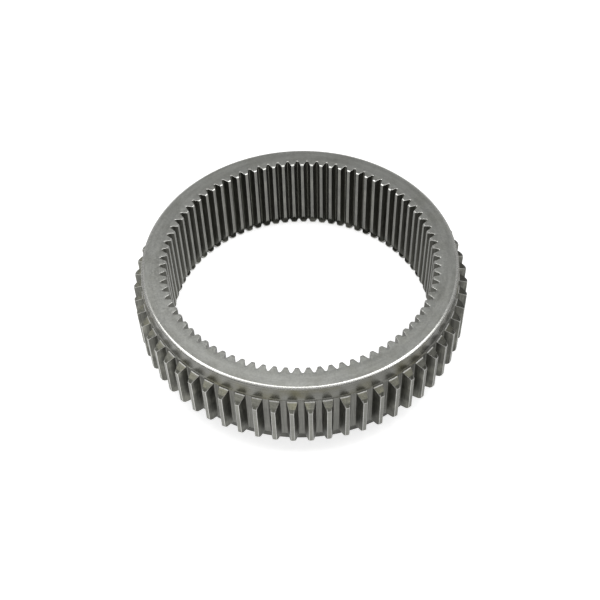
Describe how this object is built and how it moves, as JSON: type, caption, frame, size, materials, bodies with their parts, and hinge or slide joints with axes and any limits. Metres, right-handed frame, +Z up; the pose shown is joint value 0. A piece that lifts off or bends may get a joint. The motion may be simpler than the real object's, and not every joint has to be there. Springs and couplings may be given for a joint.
{
  "type": "transmission ring gear",
  "caption": "One-piece steel ring gear with inner teeth for planet gears, outer teeth for a clutch hub, a ground neck above them and a plain rim below.",
  "frame": {"origin": "centre of the lower face, on the gear's axis", "axes": "+Z up along the gear's axis, from the plain rim to the neck; +X through a gap of the inner teeth that lies in line with a gap of the outer teeth"},
  "size_m": [0.2519, 0.252, 0.069],
  "materials": {
    "gear_steel": "satin machined steel, ground neck, oiled dark tooth flanks"
  },
  "bodies": {
    "root": {"ring_gear": "gear_steel"}
  },
  "joints": []
}
